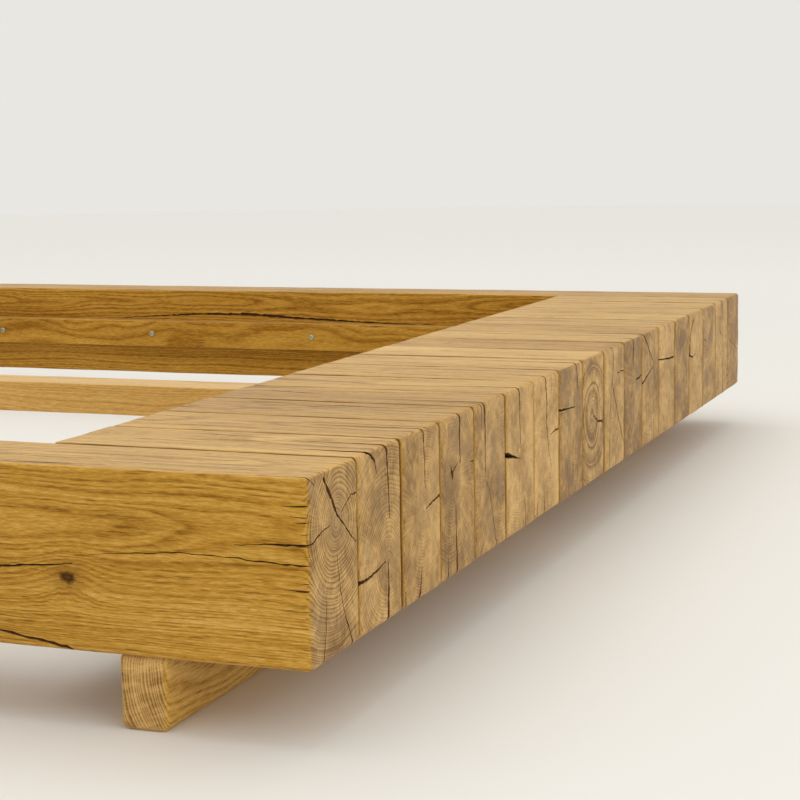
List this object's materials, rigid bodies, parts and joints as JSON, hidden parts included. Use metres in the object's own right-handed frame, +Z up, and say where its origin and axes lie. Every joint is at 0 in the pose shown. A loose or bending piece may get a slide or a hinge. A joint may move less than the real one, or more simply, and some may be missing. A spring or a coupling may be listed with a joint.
{
  "type": "wooden bed frame",
  "caption": "Low platform bed frame of solid oak beams: long side rails, wide end blocks of short beams on wooden runners, ledgers and a centre rail for a slatted base.",
  "frame": {"origin": "on the floor, under the middle of the frame's footprint", "axes": "+X along the bed towards the foot end, +Y across the bed towards the far rail, +Z up"},
  "size_m": [2.706, 2.075, 0.2523],
  "materials": {
    "oak_rail": "oiled oak, long grain",
    "oak_block": "oiled oak, brushed top and open end grain",
    "oak_runner": "oiled oak, planed",
    "oak_ledger": "oiled oak, planed",
    "pale_rail": "pale softwood, planed",
    "zinc_screw": "bright zinc plate",
    "black_angle": "black powder coat"
  },
  "bodies": {
    "root": {"side_rail_near": "oak_rail", "side_rail_far": "oak_rail", "foot_beam_02": "oak_block", "foot_beam_03": "oak_block", "foot_beam_04": "oak_block", "foot_beam_05": "oak_block", "foot_beam_06": "oak_block", "foot_beam_07": "oak_block", "foot_beam_08": "oak_block", "foot_beam_09": "oak_block", "foot_beam_10": "oak_block", "foot_beam_11": "oak_block", "foot_beam_12": "oak_block", "foot_beam_13": "oak_block", "foot_beam_14": "oak_block", "foot_beam_15": "oak_block", "foot_beam_16": "oak_block", "foot_beam_17": "oak_block", "head_beam_02": "oak_block", "head_beam_03": "oak_block", "head_beam_04": "oak_block", "head_beam_05": "oak_block", "head_beam_06": "oak_block", "head_beam_07": "oak_block", "head_beam_08": "oak_block", "head_beam_09": "oak_block", "head_beam_10": "oak_block", "head_beam_11": "oak_block", "head_beam_12": "oak_block", "head_beam_13": "oak_block", "head_beam_14": "oak_block", "head_beam_15": "oak_block", "head_beam_16": "oak_block", "head_beam_17": "oak_block", "foot_runner": "oak_runner", "head_runner": "oak_runner", "ledger_near": "oak_ledger", "ledger_far": "oak_ledger", "ledger_screw_near_1": "zinc_screw", "ledger_screw_near_2": "zinc_screw", "ledger_screw_near_3": "zinc_screw", "ledger_screw_near_4": "zinc_screw", "ledger_screw_near_5": "zinc_screw", "ledger_screw_near_6": "zinc_screw", "ledger_screw_far_1": "zinc_screw", "ledger_screw_far_2": "zinc_screw", "ledger_screw_far_3": "zinc_screw", "ledger_screw_far_4": "zinc_screw", "ledger_screw_far_5": "zinc_screw", "ledger_screw_far_6": "zinc_screw", "centre_rail": "pale_rail", "centre_foot": "pale_rail", "centre_rail_shoe_foot": "black_angle", "centre_rail_shoe_head": "black_angle", "corner_angle_foot_near": "black_angle", "corner_angle_foot_far": "black_angle", "corner_angle_head_near": "black_angle", "corner_angle_head_far": "black_angle"}
  },
  "joints": []
}
